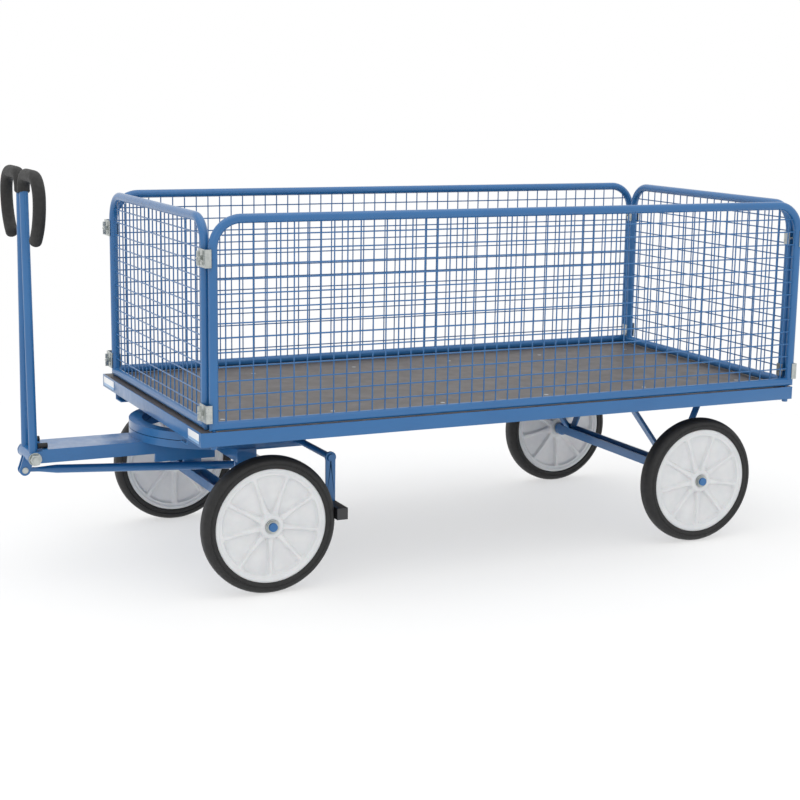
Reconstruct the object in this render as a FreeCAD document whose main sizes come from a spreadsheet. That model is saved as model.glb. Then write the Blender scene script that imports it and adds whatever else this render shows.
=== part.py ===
import FreeCAD, Part
import math
import os
import re

import Sketcher
from FreeCAD import Rotation, Vector

# Hand-pulled platform truck: steel frame with a board deck, turntable steering with a brake tiller,
# four spoked wheels and four removable mesh walls. +X points forward to the tiller, +Y to the left, +Z up.

doc = FreeCAD.newDocument("platform_truck")

# ---------------------------------------------------------------- driving dimensions
SIZES = {
    "centre_x": -182.85,        # middle of the platform, measured from the middle of the whole truck
    "deck_long": 2000, "deck_wide": 1000, "deck_z": 490, "board_thick": 15, "board_gap": 1,
    "rail_high": 40, "plate": 4, "shelf_wide": 25,
    "sill_y": 335, "sill_wide": 60, "sill_z": 430,
    "member_z": 435, "member_wide": 60, "bearer_wide": 50,
    "axle_front": 783, "axle_rear": -678, "wheel_radius": 200, "wheel_wide": 60, "wheel_y": 444,
    "rim_radius": 166, "hub_wide": 64, "hub_radius": 34, "bush_radius": 20, "bush_bore": 12.5,
    "spindle_radius": 12.45, "collar_radius": 22, "collar_y": 385, "collar_long": 20, "spindle_y": 488,
    "channel_wide": 50, "channel_low": 193, "channel_top": 222,
    "ring_outer": 265, "ring_inner": 225, "ring_low": 383, "ring_split": 405, "ring_gap": 2,
    "ball_radius": 5, "ball_groove": 5.4, "ball_count": 36,
    "king_radius": 10, "king_bore": 10.05, "king_plate_z": 427,
    "bolster_half": 270, "beam_low": 343, "beam_top": 383, "beam_half": 70, "wall5": 5, "web_end": 1330,
    "stiff_low": 318, "stiff_end": 1000,
    "pivot_x": 1357, "pivot_z": 357, "eye_radius": 20, "pin_radius": 10, "sleeve_radius": 19,
    "sleeve_half": 64, "tiller_tube": 12.5, "grip_radius": 18,
    "tube_low_y": 50, "tube_high_y": 18, "grip_start_z": 1118, "horn_top_z": 1169, "horn_out_y": 208,
    "horn_bend_z": 1033, "horn_end_y": 148, "horn_end_z": 990, "horn_in_bend": 44, "horn_out_bend": 62,
    "horn_curl": 143,
    "lever_x": 1374, "lever_z": 313, "lever_pin": 6, "lever_bore": 6.05, "lever_radius": 16,
    "rod_radius": 12.5, "rod_tail_x": 565, "rod_tail_z": 262,
    "shaft_x": 566, "shaft_z": 363, "shaft_radius": 10, "shaft_bore": 10.05, "shaft_half": 390,
    "bar_front": 582.5, "bar_deep": 33, "bar_low": 198, "bar_top": 232, "bar_half": 474,
    "arm_y": 376, "arm_thick": 8, "arm_wide": 30, "spine_half": 125, "spine_back": 540,
    "tube_radius": 13, "wall_top_z": 1072, "wall_rail_z": 505, "bend_radius": 80,
    "side_wall_y": 487, "side_wall_front": 958, "side_wall_rear": -993,
    "end_post_y": 453, "front_wall_x": 969, "rear_wall_x": -990,
    "peg_radius": 6, "peg_hole": 6.5, "peg_low": 452, "socket_radius": 9, "socket_low": 441,
    "rear_peg_x": -982, "mesh_pitch": 40, "wire": 4,
    "clip_high": 50, "clip_thick": 3, "clip_low_z": 541, "clip_top_z": 967, "clip_bolt_y": 470,
    "clip_reach": 15, "clip_bolt": 3, "clip_bore": 3.2, "wing_half": 20, "rib_count": 9, "rib_thick": 7,
}
sheet = doc.addObject("Spreadsheet::Sheet", "sizes")
for row, (word, value) in enumerate(SIZES.items(), start=1):
    sheet.set(f"A{row}", word)
    sheet.set(f"B{row}", str(value))
    sheet.setAlias(f"B{row}", word)
doc.recompute()


def size(word):
    """A driving dimension as a number."""
    return float(sheet.get(word))


def bound(text):
    """The expression with every dimension's name pointing at its cell."""
    def named(word):
        return f"sizes.{word[0]}" if word[0] in SIZES else word[0]

    return re.sub(r"[a-z][a-z_0-9]*", named, str(text))


def bind(thing, **formulas):
    for name, text in formulas.items():
        thing.setExpression(name.replace("__", "."), bound(text))
    return thing


def put(thing, along, across, up):
    """Place a shape by its platform coordinates: along from the platform's middle, across, and height."""
    return bind(thing, Placement__Base__x=f"centre_x + ({along})", Placement__Base__y=across,
                Placement__Base__z=up)


counter = {"made": 0}


def made(kind, label=None):
    counter["made"] += 1
    thing = doc.addObject(kind, label or f"step_{counter['made']}")
    thing.Label = label or thing.Name
    return thing


def bar(along, across, up, label=None):
    """A box between two limits on each axis."""
    box = made("Part::Box", label)
    bind(box, Length=f"({along[1]}) - ({along[0]})", Width=f"({across[1]}) - ({across[0]})",
         Height=f"({up[1]}) - ({up[0]})")
    return put(box, along[0], across[0], up[0])


TURNS = {"x": Rotation(Vector(0, 1, 0), 90), "y": Rotation(Vector(1, 0, 0), -90), "z": Rotation()}


def round_bar(axis, start, long, radius, label=None):
    """A cylinder that starts at a point and runs along +x, +y or +z."""
    cylinder = made("Part::Cylinder", label)
    cylinder.Placement.Rotation = TURNS[axis]
    bind(cylinder, Radius=radius, Height=long)
    return put(cylinder, *start)


def hexagon(axis, start, long, radius):
    """A nut or a bolt head."""
    prism = made("Part::Prism")
    prism.Placement.Rotation = TURNS[axis]
    prism.Polygon = 6
    bind(prism, Circumradius=radius, Height=long)
    return put(prism, *start)


def cut(base, *tools, label=None):
    result = made("Part::Cut", label)
    result.Base = base
    result.Tool = tools[0] if len(tools) == 1 else group(*tools)
    return result


def join(*shapes, label=None):
    result = made("Part::MultiFuse", label)
    result.Shapes = list(shapes)
    result.Refine = True
    return result


def group(*shapes, label=None):
    """Separate solids kept together in one node."""
    result = made("Part::Compound", label)
    result.Links = list(shapes)
    return result


def shaped(shape, label=None):
    feature = made("Part::Feature", label)
    feature.Shape = shape
    return feature


NODES = []


def node(thing):
    NODES.append(thing)
    return thing


def point(along, across, up):
    return Vector(size("centre_x") + along, across, up)


def rounded_path(corners, radii):
    """Straight runs between corner points, joined by tangent arcs of the given radii at the inner corners."""
    edges, start = [], corners[0]
    for before, corner, after, radius in zip(corners, corners[1:], corners[2:], radii):
        inward = (before - corner).normalize()
        outward = (after - corner).normalize()
        half = inward.getAngle(outward) / 2
        reach = radius / math.tan(half)
        middle = corner + (inward + outward).normalize() * (radius / math.sin(half) - radius)
        entry, leave = corner + inward * reach, corner + outward * reach
        if (entry - start).Length > 1e-3:
            edges.append(Part.LineSegment(start, entry).toShape())
        edges.append(Part.Arc(entry, middle, leave).toShape())
        start = leave
    if (corners[-1] - start).Length > 1e-3:
        edges.append(Part.LineSegment(start, corners[-1]).toShape())
    return Part.Wire(edges)


def swept(path, radius):
    """A round bar that follows a path."""
    start = path.OrderedVertexes[0].Point
    direction = path.OrderedEdges[0].tangentAt(path.OrderedEdges[0].FirstParameter)
    ring = Part.Wire(Part.makeCircle(radius, start, direction))
    return path.makePipeShell([ring], True, False)


SIDES = {"left": 1, "right": -1}

# ---------------------------------------------------------------- wheel positions and pegs
AXLES = {"front": "axle_front", "rear": "axle_rear"}
PEGS = [(x, f"{side} * {y}")
        for side in (1, -1)
        for x, y in (("side_wall_front", "side_wall_y"), ("rear_peg_x", "side_wall_y"),
                     ("front_wall_x", "end_post_y"), ("rear_peg_x", "end_post_y"))]


def peg_holes():
    return [round_bar("z", (x, y, "deck_z - 25"), 30, "peg_hole") for x, y in PEGS]


# ---------------------------------------------------------------- deck and its screws
SCREW_ALONG = (-900, -540, -180, 180, 540, 880)
screw_places = [(x, f"{side} * sill_y") for side in (1, -1) for x in SCREW_ALONG]


def screw(along, across, gap=0):
    head = round_bar("z", (along, across, "deck_z - 4"), 4, 7 + gap)
    shank = round_bar("z", (along, across, "sill_z + 20"), "deck_z - 4 - sill_z - 20", 3 + gap)
    return join(head, shank)


def deck_board():
    half_long = "deck_long / 2 - plate - board_gap"
    half_wide = "deck_wide / 2 - plate - board_gap"
    board = bar((f"-({half_long})", half_long), (f"-({half_wide})", half_wide),
                ("deck_z - board_thick", "deck_z"))
    holes = [screw(x, y) for x, y in screw_places]
    node(cut(board, *peg_holes(), *holes, label="deck_board"))
    node(group(*[screw(x, y) for x, y in screw_places], label="deck_screws"))


# ---------------------------------------------------------------- platform frame
def frame_rails():
    """Edge profiles: an upright flange outside and a shelf under the board."""
    shelf_up = ("deck_z - board_thick - plate", "deck_z - board_thick")
    flange_up = ("deck_z - rail_high", "deck_z")
    ends, sides = [], []
    for side in (1, -1):
        face, inner = f"{side} * deck_long / 2", f"{side} * (deck_long / 2 - plate)"
        lip = f"{side} * (deck_long / 2 - plate - shelf_wide)"
        along = (inner, face) if side > 0 else (face, inner)
        shelf = (lip, inner) if side > 0 else (inner, lip)
        flange = bar(along, ("-deck_wide / 2", "deck_wide / 2"), flange_up)
        ledge = bar(shelf, ("plate - deck_wide / 2", "deck_wide / 2 - plate"), shelf_up)
        ends.append(cut(join(flange, ledge), *peg_holes()))
        face, inner = f"{side} * deck_wide / 2", f"{side} * (deck_wide / 2 - plate)"
        lip = f"{side} * (deck_wide / 2 - plate - shelf_wide)"
        across = (inner, face) if side > 0 else (face, inner)
        shelf = (lip, inner) if side > 0 else (inner, lip)
        half, half_shelf = "deck_long / 2 - plate", "deck_long / 2 - plate - shelf_wide"
        flange = bar((f"-({half})", half), across, flange_up)
        ledge = bar((f"-({half_shelf})", half_shelf), shelf, shelf_up)
        sides.append(cut(join(flange, ledge), *peg_holes()))
    node(group(*ends, label="end_rails"))
    node(group(*sides, label="side_rails"))


def sills():
    """Two channels the length of the platform, notched over the end rails' shelves."""
    half = "deck_long / 2 - plate"
    made_sills = []
    for side in (1, -1):
        inner, outer = f"{side} * sill_y - sill_wide / 2", f"{side} * sill_y + sill_wide / 2"
        body = bar((f"-({half})", half), (inner, outer), ("sill_z", "deck_z - board_thick"))
        hollow = (inner, f"{outer} - plate") if side > 0 else (f"{inner} + plate", outer)
        space = bar((f"-({half}) - 1", f"{half} + 1"), hollow,
                    ("sill_z + plate", "deck_z - board_thick - plate"))
        notches = [bar((low, high), (f"{inner} - 1", f"{outer} + 1"),
                       ("deck_z - board_thick - plate", "deck_z - board_thick + 1"))
                   for low, high in ((f"{half} - shelf_wide", f"{half} + 1"),
                                     (f"-({half}) - 1", f"-({half}) + shelf_wide"))]
        holes = [screw(x, y) for x, y in screw_places if y.startswith(f"{side} ")]
        made_sills.append(cut(body, space, *notches, *holes))
    node(group(*made_sills, label="sills"))


def cross_channel(middle, low, wide):
    """A channel between the sills, open below."""
    reach = "sill_y - sill_wide / 2"
    across = (f"-({reach})", reach)
    body = bar((f"{middle} - {wide} / 2", f"{middle} + {wide} / 2"), across, (low, "deck_z - board_thick"))
    space = bar((f"{middle} - {wide} / 2 + plate", f"{middle} + {wide} / 2 - plate"), across,
                (f"{low} - 1", "deck_z - board_thick - plate"))
    return cut(body, space)


def cross_members():
    places = [("axle_front + 160", "sill_z", "bearer_wide"), ("axle_front - 160", "sill_z", "bearer_wide"),
              ("50", "member_z", "member_wide"), ("axle_rear", "member_z", "member_wide")]
    node(group(*[cross_channel(*place) for place in places], label="cross_members"))


def king_cross_member():
    channel = cross_channel("axle_front", "member_z", "member_wide")
    plate = bar(("axle_front - 50", "axle_front + 50"), (-60, 60), ("king_plate_z", "member_z"))
    bore = round_bar("z", ("axle_front", 0, "king_plate_z - 1"), "member_z - king_plate_z + 2", "king_bore")
    node(cut(join(channel, plate), bore, label="king_cross_member"))


def wall_sockets():
    """Short tubes under the shelves that take the walls' pegs."""
    height = "deck_z - board_thick - plate - socket_low"
    sockets = []
    for x, y in PEGS:
        outside = round_bar("z", (x, y, "socket_low"), height, "socket_radius")
        inside = round_bar("z", (x, y, "socket_low - 1"), f"{height} + 2", "peg_hole")
        sockets.append(cut(outside, inside))
    node(group(*sockets, label="wall_sockets"))


def blank_labels():
    plates = [bar(("deck_long / 2", "deck_long / 2 + 0.8"), across, ("deck_z - 33", "deck_z - 5"))
              for across in ((390, 484), (-486, -370))]
    node(group(*plates, label="blank_labels"))


# ---------------------------------------------------------------- axles, common to front and rear
def axle_beam(where):
    """A channel open at the top."""
    middle = AXLES[where]
    across = ("-collar_y", "collar_y")
    body = bar((f"{middle} - channel_wide / 2", f"{middle} + channel_wide / 2"), across,
               ("channel_low", "channel_top"))
    space = bar((f"{middle} - channel_wide / 2 + plate", f"{middle} + channel_wide / 2 - plate"), across,
                ("channel_low + plate", "channel_top + 1"))
    node(cut(body, space, label=f"{where}_axle_beam"))


def axle_spindles(where):
    """A turned collar and spindle at each end of the beam."""
    spindles = []
    for side in (1, -1):
        start = "collar_y" if side > 0 else "-collar_y - collar_long"
        collar = round_bar("y", (AXLES[where], start, "wheel_radius"), "collar_long", "collar_radius")
        start = "collar_y" if side > 0 else "-spindle_y"
        pin = round_bar("y", (AXLES[where], start, "wheel_radius"), "spindle_y - collar_y", "spindle_radius")
        spindles.append(join(collar, pin))
    node(group(*spindles, label=f"{where}_axle_spindles"))


def axle_washers(where):
    """An inner spacer, an outer washer and a retaining ring on each spindle."""
    hub_in, hub_out = "wheel_y - hub_wide / 2", "wheel_y + hub_wide / 2"
    rings = []
    for side in (1, -1):
        for near, far, radius in (("collar_y + collar_long", f"{hub_in} - 0.5", 21),
                                  (f"{hub_out} + 0.5", f"{hub_out} + 3.5", 20),
                                  (f"{hub_out} + 3.5", f"{hub_out} + 7", 17)):
            start = near if side > 0 else f"-({far})"
            place, thick = (AXLES[where], start, "wheel_radius"), f"({far}) - ({near})"
            hole = round_bar("y", place, thick, "spindle_radius")
            rings.append(cut(round_bar("y", place, thick, radius), hole))
    node(group(*rings, label=f"{where}_axle_washers"))


# ---------------------------------------------------------------- wheels
def outline(body, name, role, corners):
    """A closed sketch on one of the body's own planes, every corner fixed by two bound distances."""
    plane = [item for item in body.Origin.OriginFeatures if item.Role == role][0]
    sketch = body.newObject("Sketcher::SketchObject", name)
    sketch.AttachmentSupport = [(plane, "")]
    sketch.MapMode = "FlatFace"
    numbers = [tuple(worth(formula) for formula in corner) for corner in corners]
    for index, start in enumerate(numbers):
        end = numbers[(index + 1) % len(numbers)]
        sketch.addGeometry(Part.LineSegment(Vector(*start, 0), Vector(*end, 0)), False)
    last = len(numbers) - 1
    for index in range(len(numbers)):
        following = 0 if index == last else index + 1
        sketch.addConstraint(Sketcher.Constraint("Coincident", index, 2, following, 1))
    for index, corner in enumerate(corners):
        for kind, formula, number in zip(("DistanceX", "DistanceY"), corner, numbers[index]):
            place = sketch.addConstraint(Sketcher.Constraint(kind, -1, 1, index, 1, number))
            sketch.setExpression(f"Constraints[{place}]", bound(formula))
    return sketch


def worth(formula):
    """The value of a formula of driving dimensions, worked out in the sheet."""
    sheet.set("D1", f"={formula}")
    sheet.recompute()
    return float(sheet.get("D1"))


def turned(label, corners):
    """A body of revolution about the axle, drawn as radius and width."""
    body = doc.addObject("PartDesign::Body", label)
    sketch = outline(body, f"{label}_section", "XY_Plane", corners)
    lathe = body.newObject("PartDesign::Revolution", f"{label}_turned")
    lathe.Profile = sketch
    lathe.ReferenceAxis = (sketch, ["V_Axis"])
    lathe.Angle = 360
    sketch.Visibility = False
    return body


def tyre(label):
    half = "wheel_wide / 2"
    side = [("rim_radius", f"{half} - 3"), ("rim_radius + 5", half), ("wheel_radius - 12", half),
            ("wheel_radius - 3", f"{half} - 7"), ("wheel_radius", f"{half} - 14")]
    mirrored = [(radius, f"-({width})") for radius, width in reversed(side)]
    return turned(label, side + mirrored)


def rim(label):
    """Hub, thin web and outer ring, with nine ribs on the web."""
    side = [("bush_radius", "hub_wide / 2"), ("hub_radius - 4", "hub_wide / 2"), ("hub_radius + 2", 8),
            ("rim_radius - 18", 6), ("rim_radius - 15", 24), ("rim_radius", 26)]
    mirrored = [(radius, f"-({width})") for radius, width in reversed(side)]
    body = turned(label, side + mirrored)
    rib_corners = [("hub_radius - 8", 24), ("rim_radius - 16", 15), ("rim_radius - 16", -15),
                   ("hub_radius - 8", -24)]
    rib_sketch = outline(body, f"{label}_rib_outline", "XY_Plane", rib_corners)
    rib = body.newObject("PartDesign::Pad", f"{label}_rib")
    rib.Profile = rib_sketch
    rib.Length = size("rib_thick")
    rib.Midplane = True
    rib_sketch.Visibility = False
    doc.recompute()
    pattern = body.newObject("PartDesign::PolarPattern", f"{label}_ribs")
    pattern.Originals = [rib]
    axis = [item for item in body.Origin.OriginFeatures if item.Role == "Y_Axis"][0]
    pattern.Axis = (axis, [""])
    pattern.Angle = 360
    pattern.Occurrences = int(size("rib_count"))
    body.Tip = pattern
    return body


def bush(label):
    return turned(label, [("bush_bore", "hub_wide / 2"), ("bush_radius", "hub_wide / 2"),
                          ("bush_radius", "-hub_wide / 2"), ("bush_bore", "-hub_wide / 2")])


def wheels():
    for end, axle in AXLES.items():
        for name, side in SIDES.items():
            for piece, maker in (("tyre", tyre), ("rim", rim), ("hub_bush", bush)):
                body = maker(f"{end}_{name}_{piece}")
                body.Placement.Rotation = Rotation(Vector(0, 1, 0), 90)
                put(body, axle, f"{side} * wheel_y", "wheel_radius")
                node(body)


# ---------------------------------------------------------------- rear axle struts
def leg(foot, head, low, high, inner, outer):
    """A slanted angle iron: a plate along the truck and a flange across it."""
    half = 13
    thick = size("plate")

    def slanted(left, right, near, far):
        corners = [point(foot + left, near, low), point(foot + right, near, low),
                   point(head + right, near, high), point(head + left, near, high)]
        return Part.Face(Part.makePolygon(corners + corners[:1])).extrude(Vector(0, far - near, 0))

    plate = slanted(-half, half, inner, inner + thick)
    flange = slanted(half - thick, half, inner, outer)
    return plate.fuse(flange).removeSplitter()


def rear_struts():
    low, high = size("channel_top"), size("sill_z")
    axle = size("axle_rear")
    legs = []
    for side in (1, -1):
        inner, outer = (side * 320 - 15, side * 320 + 15)
        for foot, head in ((axle + 12, axle + 169), (axle - 14, axle - 101)):
            legs.append(leg(foot, head, low, high, inner, outer))
    node(shaped(Part.makeCompound(legs), "rear_struts"))


# ---------------------------------------------------------------- turntable
def ring(label, low, high):
    """A flat ring with half of the ball groove in it."""
    middle = "(ring_outer + ring_inner) / 2"
    disc = round_bar("z", ("axle_front", 0, low), f"({high}) - ({low})", "ring_outer")
    hole = round_bar("z", ("axle_front", 0, f"{low} - 1"), f"({high}) - ({low}) + 2", "ring_inner")
    groove = made("Part::Torus")
    bind(groove, Radius1=middle, Radius2="ball_groove")
    put(groove, "axle_front", 0, "ring_split + ring_gap / 2")
    node(cut(disc, hole, groove, label=label))


def turntable_rings():
    ring("upper_ring", "ring_split + ring_gap", "sill_z")
    ring("lower_ring", "ring_low", "ring_split")
    balls = []
    count = int(size("ball_count"))
    for index in range(count):
        ball = made("Part::Sphere")
        bind(ball, Radius="ball_radius")
        angle = f"{index * 360 / count} deg"
        track = "(ring_outer + ring_inner) / 2"
        put(ball, f"axle_front + {track} * cos({angle})", f"{track} * sin({angle})",
            "ring_split + ring_gap / 2")
        balls.append(ball)
    node(group(*balls, label="bearing_balls"))


def king_bolt():
    """Bolt up through the bolster and the king plate, with its nut on top."""
    shank = round_bar("z", ("axle_front", 0, "beam_top - wall5"), "member_z + 22 - beam_top + wall5",
                      "king_radius")
    head = hexagon("z", ("axle_front", 0, "beam_top - wall5 - 13"), 13, 17)
    nut = cut(hexagon("z", ("axle_front", 0, "member_z + 0.6"), 15, 17),
              round_bar("z", ("axle_front", 0, "member_z"), 18, "king_radius"))
    node(group(join(shank, head), nut, label="king_bolt"))


def lower_bolster():
    """A channel over the axle, with the two posts that stand on the axle beam welded to it."""
    along = ("axle_front - member_wide / 2", "axle_front + member_wide / 2")
    across = ("-bolster_half", "bolster_half")
    body = bar(along, across, ("beam_low", "beam_top"))
    space = bar(("axle_front - member_wide / 2 + wall5", "axle_front + member_wide / 2 - wall5"),
                ("wall5 - bolster_half", "bolster_half - wall5"), ("beam_low - 1", "beam_top - wall5"))
    bore = round_bar("z", ("axle_front", 0, "beam_top - wall5 - 1"), "wall5 + 2", "king_radius")
    posts = [bar(along, post, ("channel_top", "beam_low")) for post in ((240, 250), (-250, -240))]
    node(join(cut(body, space, bore), *posts, label="lower_bolster"))


def drawbar_beam():
    """A channel open below, deeper at the back, whose flanges end in two eyes for the pivot bolt."""
    back = "axle_front + member_wide / 2"
    web = bar((back, "web_end"), ("-beam_half", "beam_half"), ("beam_top - wall5", "beam_top"))
    parts = [web]
    for side in (1, -1):
        across = ("beam_half - wall5", "beam_half") if side > 0 else ("-beam_half", "wall5 - beam_half")
        parts.append(bar((back, "pivot_x - eye_radius"), across, ("beam_low", "beam_top")))
        parts.append(bar(("pivot_x - eye_radius - 2", "pivot_x"), across,
                         ("beam_low", "pivot_z + eye_radius")))
        parts.append(round_bar("y", ("pivot_x", across[0], "pivot_z"), "wall5", "eye_radius"))
        inner = ("beam_half - 8", "beam_half") if side > 0 else ("-beam_half", "8 - beam_half")
        parts.append(bar((back, "stiff_end"), inner, ("stiff_low", "beam_low")))
    bore = round_bar("y", ("pivot_x", "-beam_half - 1", "pivot_z"), "2 * beam_half + 2", "pin_radius")
    node(cut(join(*parts), bore, label="drawbar_beam"))


def rear_spine():
    """A wide channel behind the bolster that carries the ring and the brake shaft."""
    along = ("spine_back", "axle_front - member_wide / 2")
    body = bar(along, ("-spine_half", "spine_half"), ("beam_low", "beam_top"))
    space = bar(("spine_back - 1", "axle_front - member_wide / 2 + 1"),
                ("wall5 - spine_half", "spine_half - wall5"), ("beam_low - 1", "beam_top - wall5"))
    bore = round_bar("y", ("shaft_x", "-spine_half - 1", "shaft_z"), "2 * spine_half + 2", "shaft_bore")
    node(cut(body, space, bore, label="rear_spine"))


def pivot_bolt():
    """Cross bolt through the beam's eyes, with two washers and a nut."""
    shank = round_bar("y", ("pivot_x", "-beam_half - 4", "pivot_z"), "2 * beam_half + 4 + 20", "pin_radius")
    head = hexagon("y", ("pivot_x", "-beam_half - 17", "pivot_z"), 13, 17)
    hollow = round_bar("y", ("pivot_x", "beam_half", "pivot_z"), 30, "pin_radius")
    nut = cut(hexagon("y", ("pivot_x", "beam_half + 4", "pivot_z"), 14, 17), hollow)
    near = cut(round_bar("y", ("pivot_x", "beam_half", "pivot_z"), 4, 19),
               round_bar("y", ("pivot_x", "beam_half", "pivot_z"), 4, "pin_radius"))
    far = cut(round_bar("y", ("pivot_x", "-beam_half - 4", "pivot_z"), 4, 19),
              round_bar("y", ("pivot_x", "-beam_half - 4", "pivot_z"), 4, "pin_radius"))
    node(group(join(shank, head), nut, near, far, label="pivot_bolt"))


def tiller_stop():
    """Rubber buffers on the beam that the upright tiller rests against."""
    long = "pivot_x - tiller_tube - 0.8 - web_end + 14"
    buffers = [round_bar("x", ("web_end - 14", f"{side} * tube_low_y", "beam_top + 8"), long, 8)
               for side in (1, -1)]
    node(group(*buffers, label="tiller_stop"))


def brake_return_spring():
    """Torsion spring wound round the brake shaft inside the spine."""
    turns, pitch, coil, wire = 9, 4.5, 13.5, 1.5
    helix = Part.makeHelix(pitch, turns * pitch, coil)
    ring_wire = Part.Wire(Part.makeCircle(wire, Vector(coil, 0, 0), Vector(0, 1, 0)))
    spring = Part.Wire(helix.Edges).makePipeShell([ring_wire], True, True)
    feature = shaped(spring, "brake_return_spring")
    feature.Placement.Rotation = TURNS["y"]
    node(put(feature, "shaft_x", 30, "shaft_z"))


# ---------------------------------------------------------------- tiller
def horn_path(side, start_z, extra):
    """From the tiller's foot up, outwards over the hand and back in, in the plane of the pivot."""
    low = Vector(0, size("tube_low_y"), size("pivot_z"))
    top = Vector(0, size("tube_high_y"), size("horn_top_z"))
    share = (start_z - low.z) / (top.z - low.z)
    start = low + (top - low) * share
    over = Vector(0, size("horn_out_y"), size("horn_top_z"))
    down = Vector(0, size("horn_out_y"), size("horn_bend_z"))
    end = Vector(0, size("horn_end_y"), size("horn_end_z"))
    end = end + (end - down).normalize() * extra
    corners = [point(size("pivot_x"), side * place.y, place.z) for place in (start, top, over, down, end)]
    return rounded_path(corners, [size("horn_in_bend"), size("horn_out_bend"), size("horn_curl")])


def tiller():
    clearing = Part.makeCylinder(size("sleeve_radius"), 400, point(size("pivot_x"), -200, size("pivot_z")),
                                 Vector(0, 1, 0))
    tubes, grips = [], {}
    for name, side in SIDES.items():
        whole = swept(horn_path(side, size("pivot_z"), 0), size("tiller_tube"))
        tubes.append(whole.cut(clearing))
        sheath = swept(horn_path(side, size("grip_start_z"), 8), size("grip_radius"))
        grips[name] = sheath.cut(whole)
    node(shaped(Part.makeCompound(tubes), "tiller_tubes"))
    for name, grip in grips.items():
        node(shaped(grip, f"grip_{name}"))
    outside = round_bar("y", ("pivot_x", "-sleeve_half", "pivot_z"), "2 * sleeve_half", "sleeve_radius")
    inside = round_bar("y", ("pivot_x", "-sleeve_half - 1", "pivot_z"), "2 * sleeve_half + 2", "shaft_bore")
    node(cut(outside, inside, label="tiller_sleeve"))


def brake_lever():
    """Two cheeks below the sleeve that carry the rod's pin."""
    along, down = size("lever_x") - size("pivot_x"), size("lever_z") - size("pivot_z")
    wide = size("lever_radius")
    cheeks = []
    for near in (8, -14):
        at = point(size("pivot_x"), near, size("pivot_z"))
        corners = [at + Vector(-wide, 0, 0), at + Vector(wide + 3, 0, 0), at + Vector(along + wide, 0, down),
                   at + Vector(along - wide, 0, down)]
        blade = Part.Face(Part.makePolygon(corners + corners[:1])).extrude(Vector(0, 6, 0))
        end = Part.makeCylinder(wide, 6, at + Vector(along, 0, down), Vector(0, 1, 0))
        hole = Part.makeCylinder(size("lever_pin"), 6, at + Vector(along, 0, down), Vector(0, 1, 0))
        sleeve = Part.makeCylinder(size("sleeve_radius"), 6, at, Vector(0, 1, 0))
        cheeks.append(blade.fuse(end).cut(hole).cut(sleeve).removeSplitter())
    node(shaped(Part.makeCompound(cheeks), "brake_lever"))
    shank = round_bar("y", ("lever_x", -17, "lever_z"), 34, "lever_pin")
    heads = [round_bar("y", ("lever_x", start, "lever_z"), 3, 9) for start in (-17, 14)]
    node(join(shank, *heads, label="lever_pin"))


# ---------------------------------------------------------------- brake rod and brake bar
def brake_rod():
    """A tube with a flat tongue on the lever's pin and a slotted eye round the brake bar's pin."""
    run, rise = size("lever_x") - size("rod_tail_x"), size("lever_z") - size("rod_tail_z")
    long = math.hypot(run, rise)
    along, across = Vector(1, 0, 0), Vector(0, 1, 0)
    radius, tongue_long, tongue_thick, strap_thick = size("rod_radius"), 95, 10, 8
    tube = Part.makeCylinder(radius, long - tongue_long - 55, along * (55 - long), along)
    nose = Part.makeCone(radius, 6, 62, along * -tongue_long, along)
    tongue = Part.makeBox(tongue_long, tongue_thick, 12, Vector(-tongue_long, -tongue_thick / 2, -6))
    tip = Part.makeCylinder(11, tongue_thick, across * (-tongue_thick / 2), across)
    hole = Part.makeCylinder(size("lever_bore"), tongue_thick, across * (-tongue_thick / 2), across)
    strap = Part.makeBox(45, strap_thick, 24, Vector(14 - long, -strap_thick / 2, -12))
    eye = Part.makeBox(30, strap_thick, 36, Vector(-11 - long, -strap_thick / 2, -20))
    slot = Part.makeBox(19.5, strap_thick, 29, Vector(-7 - long, -strap_thick / 2, -16.5))
    rod = tube.fuse([nose, tongue, tip, strap, eye]).cut(slot).cut(hole).removeSplitter()
    feature = shaped(rod, "brake_rod")
    feature.Placement.Rotation = Rotation(across, -math.degrees(math.atan2(rise, run)))
    node(put(feature, "lever_x", 0, "lever_z"))


def brake():
    """The bar behind the front tyres with the rod's lugs on it, its two arms and their shaft."""
    along = ("bar_front - bar_deep", "bar_front")
    beam = bar(along, ("-bar_half", "bar_half"), ("bar_low", "bar_top"))
    arms = []
    for across in (("arm_y", "arm_y + arm_thick"), ("-arm_y - arm_thick", "-arm_y")):
        blade = bar(("shaft_x - arm_wide / 2", "shaft_x + arm_wide / 2"), across, ("bar_top", "shaft_z"))
        head = round_bar("y", ("shaft_x", across[0], "shaft_z"), "arm_thick", "arm_wide / 2 + 2")
        hole = round_bar("y", ("shaft_x", across[0], "shaft_z"), "arm_thick", "shaft_radius")
        arms.append(cut(join(blade, head), hole))
    lugs = []
    for start in (6, -12):
        blade = bar(("rod_tail_x - 10", "rod_tail_x + 10"), (start, start + 6), ("bar_top", "rod_tail_z"))
        head = round_bar("y", ("rod_tail_x", start, "rod_tail_z"), 6, 10)
        lugs.append(join(blade, head))
    pin = round_bar("y", ("rod_tail_x", -12, "rod_tail_z"), 24, "lever_pin")
    node(group(*arms, label="brake_arms"))
    node(join(beam, *lugs, pin, label="brake_bar"))
    node(round_bar("y", ("shaft_x", "-shaft_half", "shaft_z"), "2 * shaft_half", "shaft_radius",
                   label="brake_shaft"))


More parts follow.
